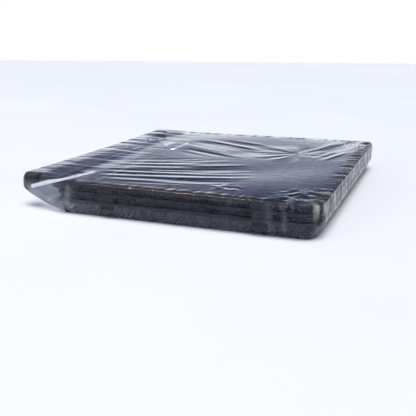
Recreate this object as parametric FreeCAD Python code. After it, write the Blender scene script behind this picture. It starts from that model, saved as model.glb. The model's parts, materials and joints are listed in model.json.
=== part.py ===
import FreeCAD, Part

import math
import os

# Three-tier document tray, packed flat: three steel mesh trays nested in each other, two side
# frames of bent rod lying in the top tray, and a clear film wrap stretched over the pack.
# Millimetres. X runs from the trays' open front (-X) to their back (+X), Y across their width
# and Z up. The origin is at the middle of the bottom tray's underside.

# Trays
TRAY_COUNT = 3
TRAY_NAMES = ("bottom_tray", "middle_tray", "top_tray")
TRAY_DEPTH = 255.0  # outside of the rim, open front to back
TRAY_WIDTH = 320.0  # outside of the rim
TRAY_HEIGHT = 16.5
NEST_PITCH = 8.0  # how far each tray stands above the one that it is nested in
CORNER_RADIUS = 18.0  # the two back corners of the rim, in plan
WALL_DRAFT_DEG = 20.0  # the walls lean outwards, so that the trays nest
WALL_INSET = 3.4  # outside of the rim to outside of the wall, at the rim's underside
MESH_THICKNESS = 1.0
RIM_WIDTH = 4.5
RIM_HEIGHT = 3.2
RIM_ROUND = 0.8
EDGING_SKIN = 0.4  # folded steel edging on each face of the mesh's cut front edge
EDGING_NOSE = 0.6
EDGING_REACH = 4.0
HANGER_WIDTH = 14.0
HANGER_THICKNESS = 1.0
HANGER_SPACING = 150.0
SEAT_GAP = 0.3  # between a part and what it rests on

# Side frames
ROD_DIAMETER = 6.0
FRAME_HEIGHT = 272.0  # underside of the feet to the top of the bend
FRAME_BEND_RADIUS = 22.0
RAIL_DIAMETER = 3.0
RAIL_COUNT = 3
LOWEST_RAIL = 60.0  # above the feet
HIGHEST_RAIL = 35.0  # below the top of the bend
FOOT_DIAMETER = 12.0
FOOT_LENGTH = 15.0
FOOT_BORE_DEPTH = 12.0
FOOT_ROUND = 1.5
FRAME_END_GAP = 2.0  # lower frame's bend to the upper frame's feet, along X
FRAME_STACK_GAP = 0.1
FRAME_SIDE_GAP = 0.25  # feet to the foot of the tray's side walls, across
FEET_PAST_BEND = 4.0  # how far the lower frame's feet reach into the tray's round back corners

# Film wrap, thicker than the real film so that it is a closed solid
FILM_THICKNESS = 0.3
FILM_GAP = 0.6  # from the rims and the feet, sideways
FILM_TOP_GAP = 0.4  # from the uppermost rod and feet
FILM_HEM = 1.0  # the lower edge, above the underside of the pack
FILM_LEFT_HEM = 20.0  # the lower edge where the film crosses between the frames' ends
FILM_SLOPE_RUN = 34.0  # over which the top slopes up to the feet

EDGE_TOLERANCE = 0.01  # for picking edges by where they lie

# Worked out from the above
DRAFT = math.tan(math.radians(WALL_DRAFT_DEG))
MESH_ACROSS = MESH_THICKNESS / math.cos(math.radians(WALL_DRAFT_DEG))
WALL_TOP = TRAY_HEIGHT - RIM_HEIGHT
WALL_FOOT_INSET = WALL_INSET + WALL_TOP * DRAFT
FRONT = -TRAY_DEPTH / 2
BACK = TRAY_DEPTH / 2
SIDE = TRAY_WIDTH / 2
HANGER_DROP = NEST_PITCH - RIM_HEIGHT - SEAT_GAP
TOP_FLOOR = (TRAY_COUNT - 1) * NEST_PITCH + MESH_THICKNESS
PACK_TOP = (TRAY_COUNT - 1) * NEST_PITCH + TRAY_HEIGHT
ROD_RADIUS = ROD_DIAMETER / 2
FOOT_RADIUS = FOOT_DIAMETER / 2
LEG_Y = SIDE - WALL_FOOT_INSET - MESH_ACROSS - FOOT_RADIUS - FRAME_SIDE_GAP
RAIL_PITCH = (FRAME_HEIGHT - LOWEST_RAIL - HIGHEST_RAIL) / (RAIL_COUNT - 1)
LOWER_FRAME_Z = TOP_FLOOR + SEAT_GAP + FOOT_RADIUS
UPPER_FRAME_Z = LOWER_FRAME_Z + ROD_DIAMETER + FRAME_STACK_GAP
LOWER_FEET_X = BACK - CORNER_RADIUS + FEET_PAST_BEND
LOWER_BEND_X = LOWER_FEET_X - FRAME_HEIGHT
UPPER_FEET_X = LOWER_BEND_X - FRAME_END_GAP - FOOT_LENGTH
PACK_LEFT = min(UPPER_FEET_X, FRONT)
PAST_FILM = 2 * FILM_GAP  # how far the wrap's side view runs on past its plan


def vector(x, y, z):
    return FreeCAD.Vector(x, y, z)


def box(low, high):
    size = high - low
    return Part.makeBox(size.x, size.y, size.z, low)


def plan_wire(inset, z):
    """The trays' outline at one height: straight sides, round back corners, run on past the front."""
    radius = CORNER_RADIUS - inset
    front = FRONT - CORNER_RADIUS
    back = BACK - inset
    side = SIDE - inset
    bow = radius * (1 - math.sqrt(0.5))
    right_low = vector(back - radius, -side, z)
    right_high = vector(back - radius, side, z)
    edges = [
        Part.makeLine(vector(front, -side, z), right_low),
        Part.Arc(right_low, vector(back - bow, -side + bow, z), vector(back, -side + radius, z)).toShape(),
        Part.makeLine(vector(back, -side + radius, z), vector(back, side - radius, z)),
        Part.Arc(vector(back, side - radius, z), vector(back - bow, side - bow, z), right_high).toShape(),
        Part.makeLine(right_high, vector(front, side, z)),
        Part.makeLine(vector(front, side, z), vector(front, -side, z)),
    ]
    return Part.Wire(edges)


def tapered(grow, low, high):
    """A solid with the outside of the walls, grown sideways, between two heights in a tray."""
    foot_inset = WALL_INSET + (WALL_TOP - low) * DRAFT - grow
    top_inset = WALL_INSET + (WALL_TOP - high) * DRAFT - grow
    return Part.makeLoft([plan_wire(foot_inset, low), plan_wire(top_inset, high)], True, True)


def behind(shape, x):
    """The part of a shape that lies behind a plane across the tray."""
    size = 2 * TRAY_WIDTH
    return shape.common(box(vector(x, -size, -size), vector(x + size, size, size)))


def straight(inset, low, high):
    return Part.Face(plan_wire(inset, low)).extrude(vector(0, 0, high - low))


def mesh_pan():
    """Floor and three walls, pressed from one sheet of mesh."""
    hollow = tapered(-MESH_ACROSS, MESH_THICKNESS, WALL_TOP)
    pan = tapered(0, 0, WALL_TOP).cut(hollow)
    return behind(pan, FRONT + EDGING_NOSE)


def rim():
    """The rolled band round the top of the walls."""
    band = straight(0, WALL_TOP, TRAY_HEIGHT).cut(straight(RIM_WIDTH, WALL_TOP, TRAY_HEIGHT))
    band = behind(band, FRONT)
    top_edges = []
    for edge in band.Edges:
        middle = edge.BoundBox.Center
        if abs(edge.BoundBox.ZMin - TRAY_HEIGHT) < EDGE_TOLERANCE and middle.x > FRONT + EDGE_TOLERANCE:
            top_edges.append(edge)
    return band.makeFillet(RIM_ROUND, top_edges)


def front_edging(pan):
    """The folded strip over the mesh's cut edge: down one wall, across the floor and up the other."""
    skin = EDGING_SKIN / math.cos(math.radians(WALL_DRAFT_DEG))
    outside = tapered(skin, 0, WALL_TOP)
    hollow = tapered(-MESH_ACROSS - skin, MESH_THICKNESS + EDGING_SKIN, WALL_TOP)
    strip = behind(outside.cut(hollow), FRONT)
    strip = strip.cut(behind(strip, FRONT + EDGING_REACH))
    return strip.cut(pan)


def hangers():
    """Tabs under the rim, which hook over a frame's rail, and rest on the next rim in the nest."""
    tabs = []
    for side in (-1, 1):
        for end in (-1, 1):
            x = end * HANGER_SPACING / 2
            outer = side * SIDE
            inner = side * (SIDE - HANGER_THICKNESS)
            low = vector(x - HANGER_WIDTH / 2, min(outer, inner), WALL_TOP - HANGER_DROP)
            high = vector(x + HANGER_WIDTH / 2, max(outer, inner), WALL_TOP)
            tabs.append(box(low, high))
    return Part.makeCompound(tabs)


def tray_pieces():
    pan = mesh_pan()
    return {
        "mesh_pan": pan,
        "rim": rim(),
        "front_edging": front_edging(pan),
        "hanger_tabs": hangers(),
    }


def hoop():
    """A side frame's rod, bent to two legs and a top: feet at X = 0, top at -X, in the plane Z = 0."""
    end = FOOT_LENGTH - FOOT_BORE_DEPTH
    top = FRAME_HEIGHT - ROD_RADIUS
    bend = FRAME_BEND_RADIUS
    bow = bend * (1 - math.sqrt(0.5))
    near = -LEG_Y
    far = LEG_Y
    near_leg = vector(bend - top, near, 0)
    far_leg = vector(bend - top, far, 0)
    near_top = vector(-top, near + bend, 0)
    far_top = vector(-top, far - bend, 0)
    edges = [
        Part.makeLine(vector(-end, near, 0), near_leg),
        Part.Arc(near_leg, vector(bow - top, near + bow, 0), near_top).toShape(),
        Part.makeLine(near_top, far_top),
        Part.Arc(far_top, vector(bow - top, far - bow, 0), far_leg).toShape(),
        Part.makeLine(far_leg, vector(-end, far, 0)),
    ]
    start = Part.makeCircle(ROD_RADIUS, vector(-end, near, 0), vector(-1, 0, 0))
    return Part.Wire(edges).makePipeShell([Part.Wire([start])], True, False)


def rails(rod):
    """The rods across a frame that carry the trays, each ending on the round of the legs."""
    found = []
    for index in range(RAIL_COUNT):
        x = -LOWEST_RAIL - index * RAIL_PITCH
        bar = Part.makeCylinder(RAIL_DIAMETER / 2, 2 * LEG_Y, vector(x, -LEG_Y, 0), vector(0, 1, 0))
        found.append(bar.cut(rod))
    return found


def foot(y):
    """A cap with a blind bore, pushed onto the end of a leg, with its ground face at X = 0."""
    cap = Part.makeCylinder(FOOT_RADIUS, FOOT_LENGTH, vector(-FOOT_LENGTH, y, 0), vector(1, 0, 0))
    ends = [edge for edge in cap.Edges if edge.BoundBox.XLength < EDGE_TOLERANCE]
    cap = cap.makeFillet(FOOT_ROUND, ends)
    bore = Part.makeCylinder(ROD_RADIUS, FOOT_BORE_DEPTH, vector(-FOOT_LENGTH, y, 0), vector(1, 0, 0))
    return cap.cut(bore)


def frame_pieces():
    rod = hoop()
    pieces = {"hoop": rod, "front_foot": foot(-LEG_Y), "rear_foot": foot(LEG_Y)}
    for number, bar in enumerate(rails(rod), 1):
        pieces[f"rail_{number}"] = bar
    return pieces


def film_plan(grow):
    """The wrap's outline from above: round the pack, and out to the frames' ends on the left."""
    gap = FILM_GAP + grow
    radius = CORNER_RADIUS + gap
    left = PACK_LEFT - gap
    left_side = LEG_Y + FOOT_RADIUS + gap
    side = SIDE + gap
    back = BACK + gap
    bow = radius * (1 - math.sqrt(0.5))
    near = [vector(left, -left_side, 0), vector(FRONT, -side, 0), vector(back - radius, -side, 0)]
    far = [vector(back - radius, side, 0), vector(FRONT, side, 0), vector(left, left_side, 0)]
    near_corner = Part.Arc(near[2], vector(back - bow, -side + bow, 0), vector(back, -side + radius, 0))
    far_corner = Part.Arc(vector(back, side - radius, 0), vector(back - bow, side - bow, 0), far[0])
    return Part.Wire([
        Part.makeLine(near[0], near[1]),
        Part.makeLine(near[1], near[2]),
        near_corner.toShape(),
        Part.makeLine(vector(back, -side + radius, 0), vector(back, side - radius, 0)),
        far_corner.toShape(),
        Part.makeLine(far[0], far[1]),
        Part.makeLine(far[1], far[2]),
        Part.makeLine(far[2], near[0]),
    ])


def film_body(grow, left_hem, hem):
    """The wrap's side view run through its plan."""
    wide = TRAY_WIDTH
    left = PACK_LEFT - PAST_FILM
    right = BACK + PAST_FILM
    low_top = UPPER_FRAME_Z + ROD_RADIUS + FILM_TOP_GAP + grow
    high_top = UPPER_FRAME_Z + FOOT_RADIUS + FILM_TOP_GAP + grow
    slope_end = UPPER_FEET_X + FOOT_LENGTH + PAST_FILM
    profile = Part.makePolygon([
        vector(left, -wide, left_hem),
        vector(left, -wide, high_top),
        vector(slope_end, -wide, high_top),
        vector(slope_end + FILM_SLOPE_RUN, -wide, low_top),
        vector(right, -wide, low_top),
        vector(right, -wide, hem),
        vector(FRONT, -wide, hem),
        vector(left, -wide, left_hem),
    ])
    side_view = Part.Face(profile).extrude(vector(0, 2 * wide, 0))
    plan = Part.Face(film_plan(grow)).extrude(vector(0, 0, 3 * PACK_TOP))
    plan.translate(vector(0, 0, -PACK_TOP))
    return side_view.common(plan)


def film_wrap():
    outside = film_body(FILM_THICKNESS, FILM_LEFT_HEM, FILM_HEM)
    below = -FILM_LEFT_HEM
    inside = film_body(0, below, below)
    return outside.cut(inside)


def place_trays(nodes):
    pieces = tray_pieces()
    for level, tray in enumerate(TRAY_NAMES):
        for name, shape in pieces.items():
            placed = shape.copy()
            placed.translate(vector(0, 0, level * NEST_PITCH))
            nodes[f"{tray}_{name}"] = placed


def place_frames(nodes):
    """The lower frame has its feet at the back of the tray, and the upper one has them at the front."""
    for name, shape in frame_pieces().items():
        lower = shape.copy()
        lower.translate(vector(LOWER_FEET_X, 0, LOWER_FRAME_Z))
        nodes[f"lower_frame_{name}"] = lower
        upper = shape.copy()
        upper.rotate(vector(0, 0, 0), vector(0, 0, 1), 180)
        upper.translate(vector(UPPER_FEET_X, 0, UPPER_FRAME_Z))
        nodes[f"upper_frame_{name}"] = upper


nodes = {}
place_trays(nodes)
place_frames(nodes)
nodes["film_wrap"] = film_wrap()

os.makedirs("parts", exist_ok=True)
for name, shape in nodes.items():
    shape.exportStep(f"parts/{name}.step")
    print(name, len(shape.Solids), round(shape.Volume, 1), shape.isValid())
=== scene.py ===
import json
import math

import bpy
import numpy as np
from mathutils import Matrix, Vector

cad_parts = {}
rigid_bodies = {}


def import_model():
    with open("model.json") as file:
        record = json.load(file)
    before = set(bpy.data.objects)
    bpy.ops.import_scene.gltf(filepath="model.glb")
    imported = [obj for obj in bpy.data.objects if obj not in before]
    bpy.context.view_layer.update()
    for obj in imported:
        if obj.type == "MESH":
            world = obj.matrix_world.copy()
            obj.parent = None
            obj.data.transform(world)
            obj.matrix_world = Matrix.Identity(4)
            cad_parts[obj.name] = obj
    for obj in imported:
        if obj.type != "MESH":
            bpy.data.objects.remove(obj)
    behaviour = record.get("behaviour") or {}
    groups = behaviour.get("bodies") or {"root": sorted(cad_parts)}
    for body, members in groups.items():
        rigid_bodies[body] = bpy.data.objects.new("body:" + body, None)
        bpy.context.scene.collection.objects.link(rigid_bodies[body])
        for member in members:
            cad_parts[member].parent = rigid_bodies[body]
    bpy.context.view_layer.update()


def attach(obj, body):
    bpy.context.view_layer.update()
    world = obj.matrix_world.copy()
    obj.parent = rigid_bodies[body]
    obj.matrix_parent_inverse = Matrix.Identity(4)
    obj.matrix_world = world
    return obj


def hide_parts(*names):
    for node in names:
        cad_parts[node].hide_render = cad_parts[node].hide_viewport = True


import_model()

# Metres. X runs from the trays' open front (-X) to their back, Y across them and Z up.

# The trays' walls, as in the part's source
TRAY_DEPTH = 0.255
TRAY_WIDTH = 0.320
WALL_TOP = 0.0133
NEST_PITCH = 0.008
CORNER_RADIUS = 0.018
WALL_INSET = 0.0034
WALL_DRAFT = math.tan(math.radians(20))
WALL_FOOT_INSET = WALL_INSET + WALL_TOP * WALL_DRAFT
MESH_MIDDLE = 0.0005
TRAYS = ("bottom_tray", "middle_tray", "top_tray")
PACK_TOP = 0.0325

# The expanded mesh
MESH_LONG = 0.0074
MESH_SHORT = 0.0050
STRAND_WIDTH = 0.0014
STRAND_THICKNESS = 0.0006
STRAND_TWIST = math.radians(32)
FLOOR_TWIST = STRAND_TWIST * 0.4
STRAND_POINTS = 5
MESH_END_GAP = 0.001
WALL_STRAND_FOOT = 0.0006
WALL_STRAND_LEAN = 1.35
NUDGE = 0.0005

# The film
FILM_LEFT = -0.1762
FILM_BACK = 0.1281
FILM_SIDE = 0.1606
FILM_LEFT_SIDE = 0.1512
FILM_CORNER = 0.0186
FILM_TOP = 0.0331
FILM_FEET_TOP = 0.0358
FOOT_WRAP = 0.0062
FOOT_END = 0.0020
FILM_TUCK_Z = 0.0150
FILM_TUCK_IN = 0.0075
FILM_HEM = 0.0013
HEM_FRONT_X = -0.1290
HEM_FRONT_Y = 0.1535
FRONT_TUCK_Z = 0.0215
CORNER_STEPS = 10

# The film's points: a grid over the middle of the top, rings round it, and rows down the sides
CELL = 0.0014
GRID_LEFT = -0.1620
GRID_BACK = 0.1080
GRID_SIDE = 0.1400
RINGS = 13
SKIRT_ROWS = 18

# The top rim and the upper frame's rods, which the film lies on
LEG_Y = 0.1444
BEND_X = 0.0935
BEND_END = 0.0965
ROD_REACH = 0.0035
ROD_TOP = 0.03248
RIM_BAND = 0.0060
RIM_CLEARANCE = 0.00015
ON_TRAYS_X = -0.128

# How the film comes down from the feet to the trays, and where it sags or rounds off
FEET_TO_TRAYS = (-0.1610, -0.1262)
ROUND_FEET_FADE = (-0.1600, -0.1380)
BETWEEN_FEET = 0.144
BETWEEN_FEET_SAG = 0.0012
EDGE_ROUNDING = 0.0007
EDGE_WIDTH = 0.004
MIDDLE_SLACK = 0.0010

# How the film mirrors
FILM_IOR = 1.52
FACE_ON_MIRROR = 0.038
BOTH_FACES = 1.95
CRUMPLE_DULLING = 0.80
MOST_MIRROR = 0.92

# The camera: its place, its yaw, pitch and roll in degrees, and its lens in millimetres
CAMERA_PLACE = (0.2180, -0.6256, 0.1668)
CAMERA_TURN = (-22.19, -16.13, -0.55)
CAMERA_LENS = 51.9
SENSOR_WIDTH = 36.0

FLOOR_HALF = 3
FLOOR_Z = -0.0005

# The sky's colour by height: 0 is the horizon and all below it, and 1 is overhead
SKY_TONES = [
    (0.0, (0.95, 0.97, 1.0)),
    (0.15, (0.95, 0.97, 1.0)),
    (0.178, (0.90, 0.93, 1.0)),
    (0.192, (0.52, 0.56, 0.68)),
    (0.207, (0.25, 0.27, 0.36)),
    (0.235, (0.18, 0.205, 0.30)),
    (0.26, (0.095, 0.115, 0.19)),
    (0.34, (0.030, 0.038, 0.08)),
    (0.6, (0.10, 0.12, 0.18)),
    (1.0, (0.30, 0.33, 0.40)),
]


# ---------- noise ----------

def value_noise(points, seed):
    """Smooth noise from -1 to 1 at an array of 2-D points."""
    rng = np.random.default_rng(seed)
    table = rng.uniform(-1, 1, (256, 256))
    cell = np.floor(points).astype(int)
    part = points - cell
    ease = part * part * (3 - 2 * part)
    x0, y0 = cell[:, 0] % 256, cell[:, 1] % 256
    x1, y1 = (x0 + 1) % 256, (y0 + 1) % 256
    low = table[x0, y0] * (1 - ease[:, 0]) + table[x1, y0] * ease[:, 0]
    high = table[x0, y1] * (1 - ease[:, 0]) + table[x1, y1] * ease[:, 0]
    return low * (1 - ease[:, 1]) + high * ease[:, 1]


def streaks(x, y, angle, along, across, seed):
    """Noise drawn out along one direction."""
    turn = np.radians(angle)
    u = (x * np.cos(turn) + y * np.sin(turn)) / along
    v = (-x * np.sin(turn) + y * np.cos(turn)) / across
    return value_noise(np.column_stack([u, v]) + 40, seed)


def creases(noise):
    """Turns smooth noise into narrow folds with flat film between them."""
    return 1 - np.sqrt(np.abs(noise) + 0.02)


def patch(x, y, cx, cy, rx, ry):
    """1 in the middle of an ellipse, fading out at its edge."""
    away = np.sqrt(((x - cx) / rx) ** 2 + ((y - cy) / ry) ** 2)
    ease = np.clip(1.6 - away, 0, 1)
    return ease * ease * (3 - 2 * ease)


def step(values, low, high):
    """0 up to low, 1 from high on, and a smooth rise between them."""
    t = np.clip((values - low) / (high - low), 0, 1)
    return t * t * (3 - 2 * t)


# ---------- node materials ----------

class Nodes:
    def __init__(self, name):
        self.material = bpy.data.materials.new(name)
        self.material.use_nodes = True
        self.tree = self.material.node_tree
        self.tree.nodes.clear()
        self.output = self.tree.nodes.new("ShaderNodeOutputMaterial")

    def add(self, kind, inputs=None, **settings):
        node = self.tree.nodes.new(kind)
        for key, value in settings.items():
            setattr(node, key, value)
        for key, value in (inputs or {}).items():
            if isinstance(value, bpy.types.NodeSocket):
                self.tree.links.new(value, node.inputs[key])
            else:
                node.inputs[key].default_value = value
        return node

    def coords(self):
        return self.add("ShaderNodeTexCoord").outputs["Object"]

    def noise(self, scale, detail=3.0, stretch=(1, 1, 1)):
        mapping = self.add("ShaderNodeMapping", {"Vector": self.coords(), "Scale": stretch})
        inputs = {"Vector": mapping.outputs[0], "Scale": scale, "Detail": detail}
        return self.add("ShaderNodeTexNoise", inputs).outputs[0]

    def ramp(self, value, stops):
        node = self.add("ShaderNodeValToRGB", {"Fac": value})
        band = node.color_ramp
        while len(band.elements) < len(stops):
            band.elements.new(0.5)
        for element, (place, colour) in zip(band.elements, stops):
            element.position = place
            element.color = colour if len(colour) == 4 else (*colour, 1)
        return node.outputs[0]

    def span(self, value, low, high):
        return self.add("ShaderNodeMapRange", {"Value": value, "To Min": low, "To Max": high}).outputs[0]

    def math(self, kind, first, second):
        return self.add("ShaderNodeMath", {0: first, 1: second}, operation=kind).outputs[0]

    def bump(self, height, strength, distance):
        inputs = {"Height": height, "Strength": strength, "Distance": distance}
        return self.add("ShaderNodeBump", inputs).outputs[0]

    def finish(self, shader):
        self.tree.links.new(shader, self.output.inputs["Surface"])
        return self.material


def painted_steel(name, dark, light, rough, metallic, shine, peel):
    """Powder coat: fine orange peel, worn to a brighter tone in places."""
    n = Nodes(name)
    patches = n.noise(90.0, 4.0)
    fine = n.noise(1400.0, 2.0)
    colour = n.ramp(patches, [(0.3, dark), (0.75, light)])
    shader = n.add("ShaderNodeBsdfPrincipled", {
        "Base Color": colour,
        "Roughness": n.span(n.noise(240.0, 3.0), *rough),
        "Metallic": metallic,
        "Specular IOR Level": shine,
        "Normal": n.bump(fine, peel, 0.0002),
    })
    return n.finish(shader.outputs[0])


def rubber():
    n = Nodes("foot_rubber")
    colour = n.ramp(n.noise(160.0, 5.0), [(0.35, (0.008, 0.008, 0.010)), (0.7, (0.022, 0.022, 0.026))])
    shader = n.add("ShaderNodeBsdfPrincipled", {
        "Base Color": colour,
        "Roughness": n.span(n.noise(400.0), 0.45, 0.65),
        "Specular IOR Level": 0.2,
        "Normal": n.bump(n.noise(2200.0), 0.25, 0.0002),
    })
    return n.finish(shader.outputs[0])


def film_material():
    """Clear shrink film: see-through when faced, a mirror at a glancing angle, hazy in its creases, with
    painted highlights and a painted reflection tint in that haze.
    """
    n = Nodes("clear_film")
    fold = n.add("ShaderNodeAttribute", attribute_name="fold").outputs["Fac"]
    crumple = n.add("ShaderNodeAttribute", attribute_name="crumple").outputs["Fac"]
    fine = n.noise(260.0, 4.0, (0.25, 1, 1))
    bump = n.bump(fine, 0.12, 0.0006)
    gloss = n.add("ShaderNodeBsdfPrincipled", {
        "Base Color": (0.90, 0.93, 1.0, 1),
        "Metallic": 1.0,
        "Roughness": n.span(n.noise(70.0), 0.05, 0.13),
        "Normal": bump,
    })
    clear = n.add("ShaderNodeBsdfTransparent", {"Color": (0.97, 0.98, 1.0, 1)})
    # painted reflection: the haze is tinted cream where crumple is high, for golden reflections in the back
    # creases, and light blue lower down, for bluish highlights at the near-right corner
    painted_reflection_tint = n.ramp(crumple, [(0.55, (0.72, 0.81, 0.97)), (0.95, (0.93, 0.87, 0.74))])
    haze_and_painted_highlight = n.add("ShaderNodeBsdfPrincipled", {
        "Base Color": painted_reflection_tint,
        "Roughness": n.span(n.noise(120.0), 0.3, 0.5),
        "Normal": bump,
    })
    bent = n.add("ShaderNodeFresnel", {"IOR": FILM_IOR, "Normal": bump}).outputs[0]
    # closely crumpled film is no even mirror, because its facets turn every way
    even = n.math("SUBTRACT", 1.0, n.math("MULTIPLY", crumple, CRUMPLE_DULLING))
    slanting = n.math("MULTIPLY", n.math("SUBTRACT", bent, FACE_ON_MIRROR), BOTH_FACES)
    mirror_share = n.math("MULTIPLY", slanting, even)
    mirror = n.add("ShaderNodeClamp", {"Value": mirror_share, "Max": MOST_MIRROR}).outputs[0]
    # the milky share is partly the creased film's own whitening and partly painted highlight
    in_folds = n.math("MULTIPLY", fold, n.span(crumple, 0.17, 0.36))
    milky_and_painted_highlight = n.math("ADD", in_folds, n.span(n.noise(45.0, 5.0), 0.0, 0.012))
    body = n.add("ShaderNodeMixShader", {0: milky_and_painted_highlight, 1: clear.outputs[0], 2: haze_and_painted_highlight.outputs[0]})
    mixed = n.add("ShaderNodeMixShader", {0: mirror, 1: body.outputs[0], 2: gloss.outputs[0]})
    return n.finish(mixed.outputs[0])


def seam_painted_highlight_material():
    """The doubled, crinkled film of a welded seam, much whiter than a single layer: that white is a painted
    highlight for the bright crease line along the near-left edge.
    """
    n = Nodes("film_seam")
    fine = n.noise(500.0, 4.0, (0.2, 1, 1))
    bump = n.bump(fine, 0.4, 0.0005)
    white = n.add("ShaderNodeBsdfPrincipled", {
        "Base Color": n.ramp(n.noise(180.0), [(0.3, (0.72, 0.78, 0.90)), (0.7, (0.93, 0.95, 1.0))]),
        "Roughness": n.span(fine, 0.2, 0.45),
        "Normal": bump,
    })
    clear = n.add("ShaderNodeBsdfTransparent", {"Color": (0.95, 0.97, 1.0, 1)})
    cover = n.span(n.noise(140.0, 4.0), 0.62, 0.92)
    mixed = n.add("ShaderNodeMixShader", {0: cover, 1: clear.outputs[0], 2: white.outputs[0]})
    return n.finish(mixed.outputs[0])


def floor_material():
    n = Nodes("pale_floor")
    colour = n.ramp(n.noise(3.0, 4.0), [(0.3, (0.86, 0.86, 0.88)), (0.7, (0.90, 0.90, 0.92))])
    shader = n.add("ShaderNodeBsdfPrincipled", {
        "Base Color": colour,
        "Roughness": n.span(n.noise(30.0), 0.7, 0.85),
    })
    return n.finish(shader.outputs[0])


# ---------- meshes ----------

def mesh_object(name, vertices, faces, material, smooth=True):
    mesh = bpy.data.meshes.new(name)
    mesh.from_pydata([tuple(v) for v in vertices], [], [tuple(f) for f in faces])
    mesh.validate()
    mesh.materials.append(material)
    mesh.polygons.foreach_set("use_smooth", [smooth] * len(mesh.polygons))
    mesh.update()
    piece = bpy.data.objects.new(name, mesh)
    bpy.context.scene.collection.objects.link(piece)
    return piece


def wall_length():
    """Length round the tray: side, back corner, back, back corner, side."""
    side_and_corner = TRAY_DEPTH - CORNER_RADIUS + math.pi / 2 * CORNER_RADIUS
    return 2 * side_and_corner + TRAY_WIDTH - 2 * CORNER_RADIUS


def wall_point(along, height):
    """A point on the middle of the mesh in a wall, by its place round the tray and its height."""
    inset = WALL_INSET + (WALL_TOP - height) * WALL_DRAFT + MESH_MIDDLE
    radius = CORNER_RADIUS - inset
    straight_side = TRAY_DEPTH - CORNER_RADIUS
    bend = math.pi / 2 * CORNER_RADIUS
    straight_back = TRAY_WIDTH - 2 * CORNER_RADIUS
    front, back, side = -TRAY_DEPTH / 2, TRAY_DEPTH / 2, TRAY_WIDTH / 2
    centre = side - CORNER_RADIUS
    if along < straight_side:
        return front + along, -side + inset, height
    along -= straight_side
    if along < bend:
        turn = along / CORNER_RADIUS
        return back - CORNER_RADIUS + radius * math.sin(turn), -centre - radius * math.cos(turn), height
    along -= bend
    if along < straight_back:
        return back - inset, -centre + along, height
    along -= straight_back
    if along < bend:
        turn = along / CORNER_RADIUS
        return back - CORNER_RADIUS + radius * math.cos(turn), centre + radius * math.sin(turn), height
    along -= bend
    return back - CORNER_RADIUS - along, side - inset, height


def ribbon(points, normals, twist, vertices, faces):
    """A strand of rectangular section along a line of points, twisted about that line."""
    points = np.array(points)
    normals = np.array(normals)
    tangent = np.gradient(points, axis=0)
    tangent /= np.linalg.norm(tangent, axis=1)[:, None]
    across = np.cross(normals, tangent)
    across /= np.linalg.norm(across, axis=1)[:, None]
    lean_cos, lean_sin = math.cos(twist), math.sin(twist)
    across, normals = across * lean_cos + normals * lean_sin, normals * lean_cos - across * lean_sin
    start = len(vertices)
    half_w, half_t = STRAND_WIDTH / 2, STRAND_THICKNESS / 2
    for point, side, up in zip(points, across, normals):
        for a, b in ((-1, -1), (1, -1), (1, 1), (-1, 1)):
            vertices.append(point + a * half_w * side + b * half_t * up)
    for ring in range(len(points) - 1):
        low = start + 4 * ring
        for edge in range(4):
            after = (edge + 1) % 4
            faces.append((low + edge, low + after, low + 4 + after, low + 4 + edge))
    end = start + 4 * (len(points) - 1)
    faces.append((start + 3, start + 2, start + 1, start))
    faces.append((end, end + 1, end + 2, end + 3))


def floor_span(angle_sign, offset):
    """Ends of one diamond line over the floor, cut to the floor's outline."""
    inset = WALL_FOOT_INSET + MESH_MIDDLE
    front, back = -TRAY_DEPTH / 2 + MESH_END_GAP, TRAY_DEPTH / 2 - inset
    side = TRAY_WIDTH / 2 - inset
    radius = CORNER_RADIUS - inset
    slope = angle_sign * MESH_SHORT / MESH_LONG
    x = np.linspace(front, back, 400)
    y = offset + slope * (x - front)
    inside = np.abs(y) <= side
    corner = (x > back - radius) & (np.abs(y) > side - radius)
    away = np.hypot(x - (back - radius), np.abs(y) - (side - radius))
    inside &= ~(corner & (away > radius))
    if inside.sum() < 3:
        return None
    hit = np.flatnonzero(inside)
    return (x[hit[0]], y[hit[0]]), (x[hit[-1]], y[hit[-1]])


def floor_strands(base, vertices, faces):
    """Both families of strands over a tray's floor."""
    reach = TRAY_WIDTH / 2 + TRAY_DEPTH * MESH_SHORT / MESH_LONG
    z = base + MESH_MIDDLE
    for sign in (-1, 1):
        for offset in np.arange(-reach, reach, MESH_SHORT):
            ends = floor_span(sign, offset)
            if ends is None:
                continue
            line = [(*ends[0], z), (*ends[1], z)]
            ribbon(line, [(0, 0, 1)] * 2, sign * FLOOR_TWIST, vertices, faces)


def wall_normal(along, height):
    """The direction out of the wall at a place on it."""
    here = np.array(wall_point(along, height))
    ahead = np.array(wall_point(along + NUDGE, height))
    above = np.array(wall_point(along, height + NUDGE))
    normal = np.cross(ahead - here, above - here)
    return normal / np.linalg.norm(normal)


def wall_strands(base, vertices, faces):
    """Both families of strands up a tray's three walls."""
    total = wall_length()
    first, last = MESH_END_GAP, total - MESH_END_GAP
    rise = WALL_TOP - WALL_STRAND_FOOT
    lean = rise * MESH_SHORT / MESH_LONG * WALL_STRAND_LEAN
    for sign in (-1, 1):
        for start in np.arange(2 * MESH_END_GAP, total - 2 * MESH_END_GAP, MESH_SHORT):
            line, normals = [], []
            for t in np.linspace(0, 1, STRAND_POINTS):
                along = min(max(start + sign * lean * (t - 0.5), first), last)
                height = WALL_STRAND_FOOT + rise * t
                normals.append(wall_normal(along, height))
                line.append(np.array(wall_point(along, height)) + (0, 0, base))
            ribbon(line, normals, sign * STRAND_TWIST, vertices, faces)


def mesh_tray(tray, level, material):
    """The expanded mesh of a tray: two families of strands over the floor and up the three walls."""
    vertices, faces = [], []
    base = level * NEST_PITCH
    floor_strands(base, vertices, faces)
    wall_strands(base, vertices, faces)
    piece = mesh_object(f"{tray}_mesh", vertices, faces, material, smooth=False)
    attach(piece, tray)
    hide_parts(f"{tray}_mesh_pan")
    return piece


# ---------- the film ----------

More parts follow.
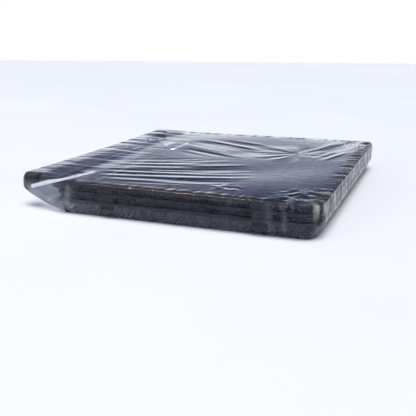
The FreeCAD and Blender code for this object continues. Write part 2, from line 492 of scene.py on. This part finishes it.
def film_outline():
    """The film's outline from above, as its near half and its far half."""
    path = [(FILM_LEFT, -FILM_LEFT_SIDE), (-TRAY_DEPTH / 2, -FILM_SIDE)]
    for k in range(CORNER_STEPS + 1):
        turn = math.pi / 2 * k / CORNER_STEPS
        x = FILM_BACK - FILM_CORNER + FILM_CORNER * math.sin(turn)
        y = -FILM_SIDE + FILM_CORNER - FILM_CORNER * math.cos(turn)
        path.append((x, y))
    right = [(x, -y) for x, y in reversed(path)]
    return np.array(path), np.array(right)


def resample(path, count):
    """A line's points spread evenly along it."""
    lengths = np.concatenate([[0], np.cumsum(np.linalg.norm(np.diff(path, axis=0), axis=1))])
    places = np.linspace(0, lengths[-1], count)
    return np.column_stack([np.interp(places, lengths, path[:, k]) for k in range(2)])


def top_height(x, y):
    """The stretched film's height over the pack before it wrinkles."""
    lift = 1 - step(x, *FEET_TO_TRAYS)
    between_feet = np.clip(1 - (np.abs(y) / BETWEEN_FEET) ** 2, 0, 1)
    sag = BETWEEN_FEET_SAG * lift * between_feet
    # at the frames' ends the film is drawn round the feet
    run = np.clip((x - FILM_LEFT) / (-TRAY_DEPTH / 2 - FILM_LEFT), 0, 1)
    outer = FILM_LEFT_SIDE + (FILM_SIDE - FILM_LEFT_SIDE) * run
    inset = np.clip(outer - np.abs(y), 0, FOOT_WRAP)
    round_foot = FOOT_WRAP - np.sqrt(FOOT_WRAP ** 2 - (FOOT_WRAP - inset) ** 2)
    sag += round_foot * (1 - step(x, *ROUND_FEET_FADE))
    end = np.clip(x - FILM_LEFT, 0, FOOT_END)
    sag += FOOT_END - np.sqrt(FOOT_END ** 2 - (FOOT_END - end) ** 2)
    edge = np.minimum(FILM_BACK - x, FILM_SIDE - np.abs(y))
    rounded = EDGE_ROUNDING * (1 - step(edge, 0, EDGE_WIDTH))
    slack = MIDDLE_SLACK * patch(x, y, 0.0, 0.0, 0.085, 0.105)
    return FILM_TOP + (FILM_FEET_TOP - FILM_TOP) * lift - sag - rounded - slack


def carried(x, y, edge):
    """What the film lies on: the top rim, and the upper frame's legs and bend."""
    on_leg = np.abs(np.abs(y) - LEG_Y) < ROD_REACH
    on_bend = (np.abs(x - BEND_X) < ROD_REACH) & (np.abs(y) < LEG_Y)
    on_tray = x > ON_TRAYS_X
    on_rod = (on_leg | on_bend) & on_tray & (x < BEND_END)
    height = np.where(on_tray & (edge < RIM_BAND), PACK_TOP + RIM_CLEARANCE, 0.0)
    return np.maximum(height, np.where(on_rod, ROD_TOP, 0.0))


def add_folds(rise, fold, area, lines, lift, haze_and_painted_highlight, level, base=0.0):
    """Lifts the film along the lines over an area, and hazes it where they stand above a level."""
    rise += lift * area * (lines - base)
    fold += haze_and_painted_highlight * area * np.clip(lines - level, 0, 1)


def wrinkles(x, y):
    """How far the film lifts, and how creased it is, at each point of the top."""
    edge_near = FILM_SIDE + y
    edge_far = FILM_SIDE - y
    edge_back = FILM_BACK - x
    rise = np.zeros_like(x)
    fold = np.zeros_like(x)

    # long folds over the left and the middle, fanning out from the near-left corner
    middle = patch(x, y, -0.040, -0.078, 0.058, 0.048)
    turn = 10 + 170 * np.clip(y + 0.145, 0, 0.12)
    long_folds = streaks(x, y, turn, 0.110, 0.0105, 11) + 0.5 * streaks(x, y, turn, 0.070, 0.0055, 12)
    add_folds(rise, fold, middle, long_folds, lift=0.00062, haze_and_painted_highlight=0.10, level=0.35)

    upper = patch(x, y, -0.040, 0.058, 0.045, 0.040)
    short_folds = streaks(x, y, -25, 0.060, 0.0085, 25)
    add_folds(rise, fold, upper, short_folds, lift=0.00050, haze_and_painted_highlight=0.2, level=0.3)

    rise += 0.00016 * streaks(x, y, 20, 0.075, 0.055, 13)

    # creases that gather at one point past the middle
    fan = patch(x, y, 0.038, 0.052, 0.040, 0.034)
    spoke = np.arctan2(y - 0.050, x - 0.058)
    reach = np.hypot(x - 0.058, y - 0.050)
    rays = value_noise(np.column_stack([spoke * 4 + 40, reach / 0.035 + 9]), 14)
    rise += 0.00034 * fan * rays * step(reach, 0.003, 0.020)
    fold += 0.2 * fan * np.clip(rays - 0.2, 0, 1)

    far_corner = patch(x, y, 0.100, 0.090, 0.024, 0.050)
    rays_far = streaks(x, y, 73, 0.060, 0.0062, 15)
    add_folds(rise, fold, far_corner, rays_far, lift=0.00045, haze_and_painted_highlight=0.2, level=0)

    # painted highlight: strong white haze here stands in for bright glints on crumpled film, beside the
    # real lift of its creases
    sparkle = patch(x, y, 0.033, -0.128, 0.012, 0.009)
    crumple = creases(streaks(x, y, 30, 0.010, 0.0055, 16)) + creases(streaks(x, y, -40, 0.010, 0.0055, 17))
    add_folds(rise, fold, sparkle, crumple, lift=0.0007, haze_and_painted_highlight=0.9, level=1.0, base=0.8)

    near_band = 1 - step(edge_near, 0.003, 0.016)
    near_share = 0.35 + 0.65 * step(x, -0.06, 0.05)
    near_hatch = streaks(x, y, 78, 0.018, 0.0034, 18)
    add_folds(rise, fold, near_band * near_share, near_hatch, lift=0.00050, haze_and_painted_highlight=0.45, level=0)

    # painted reflection: heavy haze here, tinted cream through the crumple, stands in for golden
    # reflections in the back creases, beside their real lift
    back_band = 1 - step(edge_back, 0.004, 0.015)
    back_hatch = streaks(x, y, 12, 0.030, 0.0038, 19)
    add_folds(rise, fold, back_band, back_hatch, lift=0.00055, haze_and_painted_highlight=0.75, level=-0.05)

    far_band = 1 - step(edge_far, 0.003, 0.014)
    rise += 0.0004 * far_band * streaks(x, y, 84, 0.016, 0.0042, 20)

    left = 1 - step(x, -0.150, -0.085)
    pull = streaks(x, y, 0, 0.090, 0.0090, 21) + 0.6 * streaks(x, y, 8, 0.050, 0.0042, 22)
    add_folds(rise, fold, left, pull, lift=0.00022, haze_and_painted_highlight=0.12, level=0)

    # painted highlight: haze here stands in for the bluish highlights on the crumpled near-right corner,
    # beside the real lift of its creases
    corner = patch(x, y, 0.110, -0.142, 0.024, 0.024)
    rough = creases(streaks(x, y, 45, 0.009, 0.0045, 23)) + creases(streaks(x, y, -30, 0.009, 0.0050, 24))
    add_folds(rise, fold, corner, rough, lift=0.0006, haze_and_painted_highlight=0.8, level=0.9, base=0.8)
    return rise, np.clip(fold, 0, 1)


def grid_border(nx, ny):
    """The grid's outer points in order: near side, back, far side, left."""
    near = [i * ny for i in range(nx)]
    back = [(nx - 1) * ny + j for j in range(1, ny)]
    far = [i * ny + ny - 1 for i in range(nx - 2, -1, -1)]
    left = [j for j in range(ny - 2, 0, -1)]
    return np.array(near + back + far + left)


def outline_runs(nx, ny):
    """The film's outline, with as many points along each side as the grid has."""
    near, far = film_outline()
    half = len(near) - CORNER_STEPS // 2
    back_path = np.vstack([near[half - 1:], far[:len(near) - half + 1]])
    left_path = np.array([(FILM_LEFT, FILM_LEFT_SIDE), (FILM_LEFT, -FILM_LEFT_SIDE)])
    near_run = resample(near[:half], nx)
    back_run = resample(back_path, ny)
    far_run = resample(far[len(near) - half:], nx)
    left_run = resample(left_path, ny)
    return np.vstack([near_run, back_run[1:], far_run[1:], left_run[1:-1]])


def join_loops(inside, outside, faces):
    """One ring of faces between two closed loops of as many points."""
    count = len(inside)
    for k in range(count):
        after = (k + 1) % count
        faces.append((inside[k], outside[k], outside[after], inside[after]))


def film_top(flat):
    """The top's points, and how folded and how crumpled the film is at each."""
    x, y = flat[:, 0], flat[:, 1]
    rise, fold = wrinkles(x, y)
    edge = np.minimum(np.minimum(FILM_BACK - x, FILM_SIDE - np.abs(y)), x - FILM_LEFT)
    z = top_height(x, y) + rise * step(edge, -0.0005, 0.0035)
    z = np.maximum(z, carried(x, y, edge))
    # crumple dulls the mirror and also picks the painted reflection tint: cream at the back, light blue at
    # the near-right corner
    at_back = step(x, 0.108, 0.124)
    at_near_corner = patch(x, y, 0.110, -0.142, 0.020, 0.020)
    at_feet = (1 - step(x, -0.1640, -0.1560)) * step(np.abs(y), 0.1340, 0.1400)
    crumple = at_back * 0.8 + 0.4 * at_near_corner + 0.5 * at_feet
    return np.column_stack([x, y, z]), fold, crumple


def hem_line(outline, outward, forward):
    """The film's lower edge: drawn in beside the foot of the walls, and straight across the open front."""
    on_left = outline[:, 0] < FILM_LEFT + 0.0004
    corner_y = np.sign(outline[:, 1] + 1e-9) * HEM_FRONT_Y
    hem_y = np.where(on_left, outline[:, 1] * HEM_FRONT_Y / FILM_LEFT_SIDE, corner_y)
    across_front = np.column_stack([np.full(len(outline), HEM_FRONT_X), hem_y])
    tucked_in = outline - outward * FILM_TUCK_IN
    return tucked_in * (1 - forward[:, None]) + across_front * forward[:, None]


def film_skirt(outline, rim_z):
    """Rows of points from the top's edge down the sides to the hem, with their folds and crumple."""
    x, y = outline[:, 0], outline[:, 1]
    lengths = np.concatenate([[0], np.cumsum(np.linalg.norm(np.diff(outline, axis=0), axis=1))])
    ahead = np.roll(outline, -1, axis=0) - np.roll(outline, 1, axis=0)
    outward = np.column_stack([ahead[:, 1], -ahead[:, 0]])
    outward /= np.linalg.norm(outward, axis=1)[:, None]

    forward = 1 - step(x, FILM_LEFT - 0.0001, -TRAY_DEPTH / 2 + 0.004)
    hem_xy = hem_line(outline, outward, forward)
    tuck_z = FILM_TUCK_Z * (1 - forward) + FRONT_TUCK_Z * forward
    power = 1.15 * (1 - forward) + 1.5 * forward
    hatch_share = 0.25 + 0.75 * step(x, -0.03, 0.09) + 0.5 * step(x, 0.10, 0.127)
    # back_side's crumple gives the side's haze the cream painted reflection tint, and near_right marks the
    # corner's painted highlight
    back_side = step(x, 0.106, 0.127)
    near_right = patch(x, y, 0.118, -0.152, 0.016, 0.016)
    gather = patch(x, y, -0.140, -0.158, 0.026, 0.030)

    rows, folds, crumples = [], [], []
    for row in range(1, SKIRT_ROWS + 1):
        t = row / SKIRT_ROWS
        z = rim_z * (1 - t) + FILM_HEM * t
        inward = np.clip((tuck_z - z) / (tuck_z - FILM_HEM), 0, 1)
        share = inward ** power
        xy = outline * (1 - share[:, None]) + hem_xy * share[:, None]
        down = np.full(len(outline), t * 0.034)
        ripple = streaks(lengths, down, 0, 0.0036, 0.022, 31) * hatch_share
        ripple += 0.7 * streaks(lengths, down, 0, 0.0085, 0.050, 32)
        ripple += 1.6 * gather * streaks(lengths, down, 25, 0.0060, 0.0100, 33)
        reach = (0.00030 + 0.00025 * back_side) * step(t, 0, 0.12) + 0.00045 * share
        move = ripple * reach
        # above the tuck the film can only stand off the trays
        outer_push = np.where(share < 0.05, np.abs(move), move)
        rows.append(np.column_stack([xy + outward * outer_push[:, None], z]))
        haze_and_painted_highlight = 0.50 * np.clip(ripple - 0.1, 0, 1) * hatch_share
        # painted light: the wing's gathered film gets extra haze, partly its own whitening and partly
        # painted light for the wing's brightness; the near-right corner's haze is a painted highlight
        haze_and_painted_highlight += gather * (0.25 + 0.5 * np.clip(ripple, 0, 1))
        haze_and_painted_highlight += near_right * (0.05 + 0.45 * np.clip(ripple, 0, 1))
        folds.append(haze_and_painted_highlight)
        crumples.append(back_side * (0.75 + 0.35 * ripple))
    return rows, folds, crumples


def build_film(material):
    """The film's skin: a grid over the top, rings out to the outline, and rows down the sides."""
    xs = np.arange(GRID_LEFT, GRID_BACK + CELL / 2, CELL)
    ys = np.arange(-GRID_SIDE, GRID_SIDE + CELL / 2, CELL)
    nx, ny = len(xs), len(ys)
    grid_x, grid_y = np.meshgrid(xs, ys, indexing="ij")
    inner = np.column_stack([grid_x.ravel(), grid_y.ravel()])
    border = grid_border(nx, ny)
    outline = outline_runs(nx, ny)
    count = len(border)

    faces = []
    for i in range(nx - 1):
        for j in range(ny - 1):
            a = i * ny + j
            faces.append((a, a + ny, a + ny + 1, a + 1))
    loops = [border]
    for number in range(RINGS + SKIRT_ROWS):
        loops.append(np.arange(count) + len(inner) + count * number)
    for inside, outside in zip(loops, loops[1:]):
        join_loops(inside, outside, faces)

    plan = [inner]
    for ring in range(1, RINGS + 1):
        t = ring / RINGS
        plan.append(inner[border] * (1 - t) + outline * t)
    top, fold, crumple = film_top(np.vstack(plan))
    rows, folds, crumples = film_skirt(outline, top[-count:, 2])

    piece = mesh_object("film_skin", np.vstack([top, *rows]), faces, material)
    for name, values in (("fold", [fold, *folds]), ("crumple", [crumple, *crumples])):
        attribute = piece.data.attributes.new(name, "FLOAT", "POINT")
        attribute.data.foreach_set("value", np.clip(np.concatenate(values), 0, 1).astype(np.float32))
    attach(piece, "film_wrap")
    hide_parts("film_wrap")
    return piece


# The seam's middle line, up the near side, over the edge and along the top, and half its width there
SEAM_LINE = [(-0.1645, -0.154, 0.023), (-0.139, -0.159, 0.031), (-0.127, -0.159, 0.0335),
             (-0.121, -0.146, 0.0342), (-0.1135, -0.116, 0.034)]
SEAM_HALF = [(0, 0, 0.0018), (-0.001, 0, 0.0018), (-0.001, 0.0025, 0.0008),
             (-0.003, 0.004, 0), (-0.0025, 0.004, 0)]


def along_line(points, places):
    """Points between those of a line, by their place in its list."""
    knots = np.arange(len(points))
    return np.column_stack([np.interp(places, knots, np.array(points, float)[:, k]) for k in range(3)])


def build_seam(material):
    """The welded seam's flap, a narrow strip up the near side and over onto the top."""
    steps, across = 72, 5
    places = np.linspace(0, len(SEAM_LINE) - 1, steps + 1)
    middle = along_line(SEAM_LINE, places)
    half = along_line(SEAM_HALF, places)
    vertices, faces = [], []
    for k in range(steps + 1):
        for a in range(across):
            share = a / (across - 1)
            spot = middle[k] + half[k] * (1 - 2 * share)
            vertices.append(spot + (0, 0, 0.00014 * math.sin(1.3 * k + 2.1 * a)))
    for k in range(steps):
        for a in range(across - 1):
            low = across * k + a
            faces.append((low, low + across, low + across + 1, low + 1))
    piece = mesh_object("film_seam", vertices, faces, material)
    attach(piece, "film_wrap")
    return piece


# ---------- the pieces ----------

# painted light: the trays' mesh is black like the rims, but its coat is painted a lighter blue-grey,
# standing in for the light its strands catch
mesh_paint_with_painted_light = painted_steel(
    "mesh_coat", dark=(0.030, 0.040, 0.078), light=(0.105, 0.135, 0.225), rough=(0.22, 0.36),
    metallic=0.35, shine=0.6, peel=0.2)
rim_paint = painted_steel(
    "rim_coat", dark=(0.005, 0.007, 0.012), light=(0.018, 0.022, 0.036), rough=(0.13, 0.24),
    metallic=0.10, shine=0.25, peel=0.12)
rod_paint = painted_steel(
    "rod_coat", dark=(0.006, 0.007, 0.012), light=(0.022, 0.026, 0.042), rough=(0.22, 0.40),
    metallic=0.25, shine=0.40, peel=0.22)
foot_paint = rubber()
PAINTS = {
    "_rim": rim_paint,
    "_edging": rim_paint,
    "_hanger": rim_paint,
    "_foot": foot_paint,
    "_hoop": rod_paint,
    "_rail": rod_paint,
}

for level, tray in enumerate(TRAYS):
    mesh_tray(tray, level, mesh_paint_with_painted_light)

for piece in bpy.data.objects:
    for part_of_name, paint in PAINTS.items():
        if part_of_name in piece.name:
            for slot in piece.material_slots:
                slot.material = paint

film = build_film(film_material())
seam = build_seam(seam_painted_highlight_material())

# ---------- floor, light and camera ----------

floor_corners = [(x * FLOOR_HALF, y * FLOOR_HALF, FLOOR_Z) for x, y in ((-1, -1), (1, -1), (1, 1), (-1, 1))]
floor = mesh_object("floor", floor_corners, [(0, 1, 2, 3)], floor_material())


def area_light(name, place, aim, size, power, colour):
    data = bpy.data.lights.new(name, "AREA")
    data.shape = "RECTANGLE"
    data.size, data.size_y = size
    data.energy = power
    data.color = colour
    lamp = bpy.data.objects.new(name, data)
    lamp.location = place
    lamp.rotation_euler = (Vector(aim) - Vector(place)).to_track_quat("-Z", "Y").to_euler()
    bpy.context.scene.collection.objects.link(lamp)
    return lamp


def place_lights():
    """A warm strip overhead, a cool fill from the near left, and a wide soft sun."""
    strip = area_light("warm_strip", place=(-0.70, -0.42, 1.40), aim=(0, -0.1, 0), size=(1.5, 0.12),
                       power=26, colour=(1.0, 0.68, 0.38))
    strip.visible_diffuse = False
    area_light("fill", place=(-1.0, -1.4, 0.9), aim=(0, 0, 0), size=(1.2, 0.8),
               power=4, colour=(0.85, 0.92, 1.0))
    sun = bpy.data.lights.new("sky_light", "SUN")
    sun.energy = 2.9
    sun.angle = math.radians(40)
    sun.color = (0.96, 0.98, 1.0)
    lamp = bpy.data.objects.new("sky_light", sun)
    lamp.rotation_euler = (math.radians(18), math.radians(12), 0)
    bpy.context.scene.collection.objects.link(lamp)


def build_world():
    """A sky whose tone goes by elevation, and plain white where the camera sees it."""
    world = bpy.data.worlds.new("studio")
    bpy.context.scene.world = world
    world.use_nodes = True
    tree = world.node_tree
    tree.nodes.clear()
    output = tree.nodes.new("ShaderNodeOutputWorld")
    coords = tree.nodes.new("ShaderNodeTexCoord")
    split = tree.nodes.new("ShaderNodeSeparateXYZ")
    tree.links.new(coords.outputs["Generated"], split.inputs[0])
    ramp = tree.nodes.new("ShaderNodeValToRGB")
    tree.links.new(split.outputs["Z"], ramp.inputs["Fac"])
    band = ramp.color_ramp
    while len(band.elements) < len(SKY_TONES):
        band.elements.new(0.5)
    for element, (place, colour) in zip(band.elements, SKY_TONES):
        element.position = place
        element.color = (*colour, 1)
    sky = tree.nodes.new("ShaderNodeBackground")
    tree.links.new(ramp.outputs[0], sky.inputs["Color"])
    sky.inputs["Strength"].default_value = 1.0
    white = tree.nodes.new("ShaderNodeBackground")
    white.inputs["Color"].default_value = (1, 1, 1, 1)
    rays = tree.nodes.new("ShaderNodeLightPath")
    mix = tree.nodes.new("ShaderNodeMixShader")
    tree.links.new(rays.outputs["Is Camera Ray"], mix.inputs[0])
    tree.links.new(sky.outputs[0], mix.inputs[1])
    tree.links.new(white.outputs[0], mix.inputs[2])
    tree.links.new(mix.outputs[0], output.inputs["Surface"])


def place_camera():
    yaw, pitch, roll = (math.radians(angle) for angle in CAMERA_TURN)
    level_part = math.cos(pitch)
    forward = Vector((math.sin(yaw) * level_part, math.cos(yaw) * level_part, math.sin(pitch)))
    level = Vector((math.cos(yaw), -math.sin(yaw), 0))
    above = level.cross(forward)
    right = level * math.cos(roll) + above * math.sin(roll)
    up = above * math.cos(roll) - level * math.sin(roll)
    data = bpy.data.cameras.new("camera")
    data.sensor_width = SENSOR_WIDTH
    data.lens = CAMERA_LENS
    data.clip_end = 20.0
    camera = bpy.data.objects.new("camera", data)
    matrix = Matrix((right, up, -forward)).transposed().to_4x4()
    matrix.translation = Vector(CAMERA_PLACE)
    camera.matrix_world = matrix
    bpy.context.scene.collection.objects.link(camera)
    bpy.context.scene.camera = camera


place_lights()
build_world()
place_camera()
bpy.context.scene.view_settings.view_transform = "Standard"
